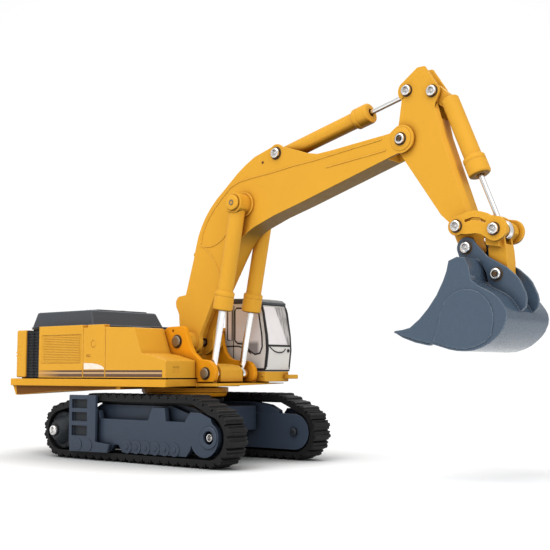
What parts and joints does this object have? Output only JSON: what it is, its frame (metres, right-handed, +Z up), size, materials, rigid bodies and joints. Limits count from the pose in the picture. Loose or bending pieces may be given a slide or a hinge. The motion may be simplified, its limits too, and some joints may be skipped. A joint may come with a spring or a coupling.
{
  "type": "toy excavator",
  "caption": "Die-cast style toy crawler excavator with a slewing cab, folding boom, arm and bucket on toy hydraulic cylinders, and moulded tracks.",
  "frame": {"origin": "centre of the bounding box's bottom face, on the ground the tracks stand on", "axes": "+X forwards, the way the boom reaches; +Z up; +Y to the machine's left, the cab's side"},
  "size_m": [0.1476, 0.0438, 0.089],
  "materials": {
    "yellow": "satin yellow-orange paint",
    "slate": "semi-gloss blue-grey paint",
    "rubber": "matt black soft plastic",
    "black": "matt black",
    "chrome": "bright plated",
    "steel": "bright steel rivets",
    "cab": "light grey silver",
    "clear": "clear insert"
  },
  "bodies": {
    "undercarriage": {"chassis_frame": "slate", "slew_base_ring": "black", "slew_screw": "steel", "track_frame_right": "slate", "track_frame_left": "slate", "step_box_right": "slate", "step_box_left": "slate", "track_belt_right": "rubber", "track_belt_left": "rubber", "idler_axle_right": "steel", "idler_axle_left": "steel", "sprocket_axle_right": "steel", "sprocket_axle_left": "steel"},
    "sprocket_right": {"sprocket_right": "black"},
    "sprocket_left": {"sprocket_left": "black"},
    "idler_right": {"idler_right": "black"},
    "idler_left": {"idler_left": "black"},
    "upper": {"turntable": "yellow", "upper_deck": "yellow", "house_body": "yellow", "counterweight": "yellow", "radiator_grille": "black", "engine_hood": "slate", "cab_platform": "yellow", "front_step": "yellow", "cab_shell": "cab", "cab_glazing": "clear", "operator_seat": "black", "boom_bracket_right": "yellow", "boom_bracket_left": "yellow", "front_crossmember": "yellow", "boom_foot_pin": "steel", "boom_rod_foot_pin": "steel"},
    "boom": {"boom": "yellow", "boom_tip_pin": "steel", "arm_cylinder_base_pin": "steel", "boom_cylinder_top_pin": "steel"},
    "boom_rods": {"boom_rod_right": "chrome", "boom_rod_left": "chrome"},
    "boom_barrels": {"boom_barrel_right": "yellow", "boom_barrel_left": "yellow"},
    "arm": {"arm": "yellow", "arm_tail_pin": "steel", "bucket_cylinder_base_pin": "steel", "idler_link_pin": "steel", "bucket_pivot_pin": "steel"},
    "arm_barrel": {"arm_barrel": "yellow"},
    "arm_rod": {"arm_rod": "chrome"},
    "bucket": {"bucket": "slate", "bucket_link_pin": "steel"},
    "idler_links": {"idler_link_right": "yellow", "idler_link_left": "yellow", "link_rod_pin": "steel"},
    "bucket_link": {"bucket_link": "yellow"},
    "bucket_barrel": {"bucket_barrel": "yellow"},
    "bucket_rod": {"bucket_rod": "chrome"}
  },
  "joints": [
    {"name": "slew", "type": "hinge", "parent": "undercarriage", "child": "upper", "pos_m": [-0.0248, 0, 0.0158], "axis": [0, 0, 1], "continuous": true},
    {"name": "boom_lift", "type": "hinge", "parent": "upper", "child": "boom", "pos_m": [-0.01916, -0.0008, 0.02985], "axis": [0, -1, 0], "range_deg": [-25, 15]},
    {"name": "boom_rods_swing", "type": "hinge", "parent": "upper", "child": "boom_rods", "pos_m": [-0.0093, -0.0008, 0.0218], "axis": [0, -1, 0], "range_deg": [-22.1, 13.3]},
    {"name": "boom_barrels_slide", "type": "slide", "parent": "boom_rods", "child": "boom_barrels", "axis": [0.1979, 0, 0.9802], "range_m": [-0.0051, 0.0031]},
    {"name": "arm_swing", "type": "hinge", "parent": "boom", "child": "arm", "pos_m": [0.0448, -0.0008, 0.0733], "axis": [0, -1, 0], "range_deg": [-35, 20]},
    {"name": "arm_barrel_swing", "type": "hinge", "parent": "boom", "child": "arm_barrel", "pos_m": [0.0092, -0.0008, 0.075], "axis": [0, -1, 0], "range_deg": [-4.4, 2.6]},
    {"name": "arm_rod_slide", "type": "slide", "parent": "arm_barrel", "child": "arm_rod", "axis": [0.97, 0, 0.2432], "range_m": [-0.0035, 0.006]},
    {"name": "bucket_curl", "type": "hinge", "parent": "arm", "child": "bucket", "pos_m": [0.0605, -0.0008, 0.04795], "axis": [0, -1, 0], "range_deg": [-20, 45]},
    {"name": "idler_links_swing", "type": "hinge", "parent": "arm", "child": "idler_links", "pos_m": [0.0589, -0.0008, 0.0525], "axis": [0, -1, 0], "range_deg": [-20.5, 42.5]},
    {"name": "bucket_link_swing", "type": "hinge", "parent": "idler_links", "child": "bucket_link", "pos_m": [0.0675, -0.0008, 0.0512], "axis": [0, -1, 0], "range_deg": [-18.3, 8.8]},
    {"name": "bucket_barrel_swing", "type": "hinge", "parent": "arm", "child": "bucket_barrel", "pos_m": [0.0523, -0.0008, 0.083], "axis": [0, -1, 0], "range_deg": [-1.8, 3.8]},
    {"name": "bucket_rod_slide", "type": "slide", "parent": "bucket_barrel", "child": "bucket_rod", "axis": [0.3744, 0, -0.9273], "range_m": [-0.0058, 0.0028]},
    {"name": "sprocket_right_turn", "type": "hinge", "parent": "undercarriage", "child": "sprocket_right", "pos_m": [-0.0516, -0.0165, 0.00705], "axis": [0, 1, 0], "continuous": true},
    {"name": "idler_right_turn", "type": "hinge", "parent": "undercarriage", "child": "idler_right", "pos_m": [0.0014, -0.0156, 0.00705], "axis": [0, 1, 0], "continuous": true},
    {"name": "sprocket_left_turn", "type": "hinge", "parent": "undercarriage", "child": "sprocket_left", "pos_m": [-0.0516, 0.0165, 0.00705], "axis": [0, 1, 0], "continuous": true},
    {"name": "idler_left_turn", "type": "hinge", "parent": "undercarriage", "child": "idler_left", "pos_m": [0.0014, 0.0156, 0.00705], "axis": [0, 1, 0], "continuous": true}
  ],
  "couplings": [
    {"joint": "boom_rods_swing", "follows": "boom_lift", "ratio": 0.8788},
    {"joint": "boom_barrels_slide", "follows": "boom_lift", "m_per_rad": 0.011573},
    {"joint": "arm_barrel_swing", "follows": "arm_swing", "ratio": 0.1227},
    {"joint": "arm_rod_slide", "follows": "arm_swing", "m_per_rad": -0.0096515},
    {"joint": "idler_links_swing", "follows": "bucket_curl", "ratio": 0.8738},
    {"joint": "bucket_link_swing", "follows": "bucket_curl", "ratio": -0.3765},
    {"joint": "bucket_barrel_swing", "follows": "bucket_curl", "ratio": 0.0777},
    {"joint": "bucket_rod_slide", "follows": "bucket_curl", "m_per_rad": -0.0067663},
    {"joint": "idler_right_turn", "follows": "sprocket_right_turn", "ratio": 1},
    {"joint": "idler_left_turn", "follows": "sprocket_left_turn", "ratio": 1}
  ]
}
